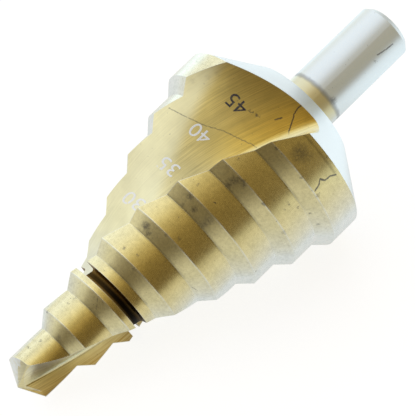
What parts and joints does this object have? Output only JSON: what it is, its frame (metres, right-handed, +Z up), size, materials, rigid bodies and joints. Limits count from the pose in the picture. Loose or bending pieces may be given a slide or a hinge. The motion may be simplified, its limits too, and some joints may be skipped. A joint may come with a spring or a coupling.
{
  "type": "step drill bit",
  "caption": "Spiral-fluted step drill with a split point, a stepped cone of chamfered lands, a bevelled back and a plain round shank, lying at rest.",
  "frame": {"origin": "on the ground under the middle of the drill's bounding box, as it lies at rest", "axes": "+X is the level heading of the drill's length, from the point towards the shank; +Z up; +Y completes the right-handed frame"},
  "size_m": [0.1004, 0.045, 0.0433],
  "materials": {
    "coated_steel": "satin gold nitride coating over ground steel; the shank is bare steel"
  },
  "bodies": {
    "root": {"step_drill": "coated_steel"}
  },
  "joints": []
}
